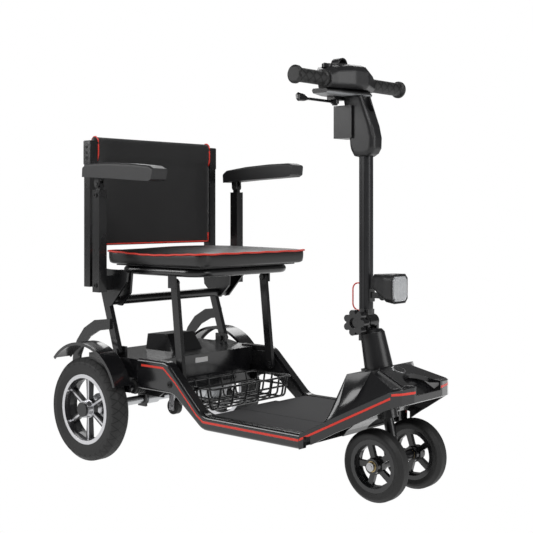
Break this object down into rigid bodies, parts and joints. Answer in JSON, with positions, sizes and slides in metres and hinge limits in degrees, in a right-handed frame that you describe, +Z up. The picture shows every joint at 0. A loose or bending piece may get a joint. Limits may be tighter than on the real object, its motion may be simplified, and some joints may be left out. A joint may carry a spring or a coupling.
{
  "type": "folding mobility scooter",
  "caption": "Compact folding four-wheel mobility scooter with padded seat, sling back, flip-up armrests, upright tiller with handlebar, headlight, low floor and wire basket.",
  "frame": {"origin": "on the ground under the middle of the overall box", "axes": "+X forward, +Y to the rider's left, +Z up"},
  "size_m": [0.9185, 0.524, 0.9164],
  "materials": {
    "frame_steel": "satin black powder coat",
    "tiller_paint": "satin black anodised",
    "black_plastic": "semi-gloss black moulding",
    "rail_plastic": "semi-gloss black moulding",
    "grey_plastic": "light grey moulding",
    "red_trim": "bright red trim",
    "mat_rubber": "granular dark grey mat",
    "grip_rubber": "diamond-pattern black rubber",
    "rubber": "black rubber",
    "tyre": "black tyre rubber",
    "rim_alloy": "black with bright machined edges",
    "rim_black": "black moulding",
    "zinc": "zinc-plated",
    "bearing_steel": "plain",
    "motor_alloy": "cast and turned alloy",
    "basket_wire": "black coated wire",
    "battery_case": "black case",
    "red_cable": "red cable sheath",
    "leatherette": "black leatherette with red piping",
    "armrest_foam": "black moulded foam",
    "woven_back": "black woven sling with red piping",
    "lens": "clear lens"
  },
  "bodies": {
    "chassis": {"chassis_frame": "frame_steel", "side_rail_right": "rail_plastic", "side_rail_left": "rail_plastic", "side_stripes": "red_trim", "rear_box": "black_plastic", "floor_deck": "black_plastic", "floor_mat": "mat_rubber", "front_hood": "black_plastic", "battery_pack": "battery_case", "motor_controller": "battery_case", "rear_axle_beam": "motor_alloy", "drive_motors": "motor_alloy", "fender_right": "black_plastic", "fender_left": "black_plastic", "fender_mounts": "rubber", "roller_brackets": "frame_steel", "headset_bearings": "bearing_steel", "pivot_bolts": "zinc"},
    "basket": {"basket": "basket_wire"},
    "rear_wheel_right": {"rear_rim_right": "rim_alloy", "rear_tyre_right": "tyre"},
    "rear_wheel_left": {"rear_rim_left": "rim_alloy", "rear_tyre_left": "tyre"},
    "roller_right": {"transport_roller_right": "rubber"},
    "roller_left": {"transport_roller_left": "rubber"},
    "steering": {"steering_fork": "frame_steel", "front_axle": "zinc", "front_bearings": "bearing_steel", "column_cover": "black_plastic"},
    "front_wheel_right": {"front_rim_right": "rim_black", "front_tyre_right": "tyre"},
    "front_wheel_left": {"front_rim_left": "rim_black", "front_tyre_left": "tyre"},
    "tiller": {"tiller_tube": "tiller_paint", "tiller_knuckle": "frame_steel", "lamp_bracket": "frame_steel", "tiller_cable": "red_cable"},
    "knob": {"star_knob": "black_plastic"},
    "headlight": {"lamp_housing": "black_plastic", "lamp_lens": "lens"},
    "head": {"neck_shell": "black_plastic", "controller_box": "black_plastic", "console_base": "grey_plastic", "console_shell": "black_plastic", "handlebar": "frame_steel", "grips": "grip_rubber", "throttle_mount": "black_plastic"},
    "throttle": {"throttle_lever": "black_plastic"},
    "dial": {"speed_dial": "black_plastic"},
    "key": {"ignition_key": "zinc"},
    "front_legs": {"front_legs": "frame_steel"},
    "rear_legs": {"rear_legs": "frame_steel"},
    "seat": {"seat_frame": "frame_steel", "seat_pan": "black_plastic", "seat_cushion": "leatherette", "armrest_posts": "frame_steel"},
    "back": {"back_uprights": "frame_steel", "back_sling": "woven_back"},
    "arm_right": {"armrest_right": "armrest_foam"},
    "arm_left": {"armrest_left": "armrest_foam"}
  },
  "joints": [
    {"name": "rear_wheel_right_spin", "type": "hinge", "parent": "chassis", "child": "rear_wheel_right", "pos_m": [-0.33775, -0.2285, 0.1215], "axis": [0, 1, 0], "continuous": true},
    {"name": "rear_wheel_left_spin", "type": "hinge", "parent": "chassis", "child": "rear_wheel_left", "pos_m": [-0.33775, 0.2285, 0.1215], "axis": [0, 1, 0], "continuous": true},
    {"name": "roller_right_spin", "type": "hinge", "parent": "chassis", "child": "roller_right", "pos_m": [-0.19275, -0.09, 0.125], "axis": [0, 1, 0], "continuous": true},
    {"name": "roller_left_spin", "type": "hinge", "parent": "chassis", "child": "roller_left", "pos_m": [-0.19275, 0.09, 0.125], "axis": [0, 1, 0], "continuous": true},
    {"name": "steering_turn", "type": "hinge", "parent": "chassis", "child": "steering", "pos_m": [0.37925, 0, 0.074], "axis": [-0.225, 0, 0.9744], "range_deg": [-35, 35]},
    {"name": "front_wheel_right_spin", "type": "hinge", "parent": "steering", "child": "front_wheel_right", "pos_m": [0.37925, -0.0702, 0.074], "axis": [0, 1, 0], "continuous": true},
    {"name": "front_wheel_left_spin", "type": "hinge", "parent": "steering", "child": "front_wheel_left", "pos_m": [0.37925, 0.0702, 0.074], "axis": [0, 1, 0], "continuous": true},
    {"name": "tiller_fold", "type": "hinge", "parent": "steering", "child": "tiller", "pos_m": [0.30825, 0, 0.356], "axis": [0, -1, 0], "range_deg": [0, 22]},
    {"name": "star_knob_turn", "type": "hinge", "parent": "tiller", "child": "knob", "pos_m": [0.30825, -0.04, 0.356], "axis": [0, 1, 0], "range_deg": [0, 360]},
    {"name": "headlight_tilt", "type": "hinge", "parent": "tiller", "child": "headlight", "pos_m": [0.35225, 0, 0.412], "axis": [0, 1, 0], "range_deg": [-12, 12]},
    {"name": "head_height", "type": "slide", "parent": "tiller", "child": "head", "axis": [0, 0, 1], "range_m": [-0.09, 0]},
    {"name": "throttle_pull", "type": "hinge", "parent": "head", "child": "throttle", "pos_m": [0.24225, -0.03, 0.82], "axis": [0, 0, 1], "range_deg": [0, 25], "stiffness_Nm_per_rad": 0.3},
    {"name": "speed_dial_turn", "type": "hinge", "parent": "head", "child": "dial", "pos_m": [0.25225, -0.07, 0.9], "axis": [0, 0, 1], "range_deg": [0, 270]},
    {"name": "ignition_turn", "type": "hinge", "parent": "head", "child": "key", "pos_m": [0.21225, 0.02, 0.874], "axis": [1, 0, 0], "range_deg": [0, 90]},
    {"name": "front_leg_fold", "type": "hinge", "parent": "chassis", "child": "front_legs", "pos_m": [-0.10275, 0, 0.207], "axis": [0, 1, 0], "range_deg": [0, 45]},
    {"name": "rear_leg_fold", "type": "hinge", "parent": "chassis", "child": "rear_legs", "pos_m": [-0.29175, 0, 0.256], "axis": [0, 1, 0], "range_deg": [0, 64]},
    {"name": "seat_level", "type": "hinge", "parent": "front_legs", "child": "seat", "pos_m": [-0.12575, 0, 0.425], "axis": [0, 1, 0], "range_deg": [-43, 0]},
    {"name": "back_fold", "type": "hinge", "parent": "seat", "child": "back", "pos_m": [-0.27175, 0, 0.436], "axis": [0, 1, 0], "range_deg": [0, 80]},
    {"name": "armrest_right_lift", "type": "hinge", "parent": "seat", "child": "arm_right", "pos_m": [-0.29575, -0.2345, 0.653], "axis": [0, -1, 0], "range_deg": [0, 88]},
    {"name": "armrest_left_lift", "type": "hinge", "parent": "seat", "child": "arm_left", "pos_m": [-0.29575, 0.2345, 0.653], "axis": [0, -1, 0], "range_deg": [0, 88]},
    {"name": "basket_lift", "type": "slide", "parent": "chassis", "child": "basket", "axis": [0, 0, 1], "range_m": [0, 0.06]}
  ],
  "couplings": [
    {"joint": "rear_leg_fold", "follows": "front_leg_fold", "ratio": 1.409},
    {"joint": "seat_level", "follows": "front_leg_fold", "ratio": -0.945}
  ]
}
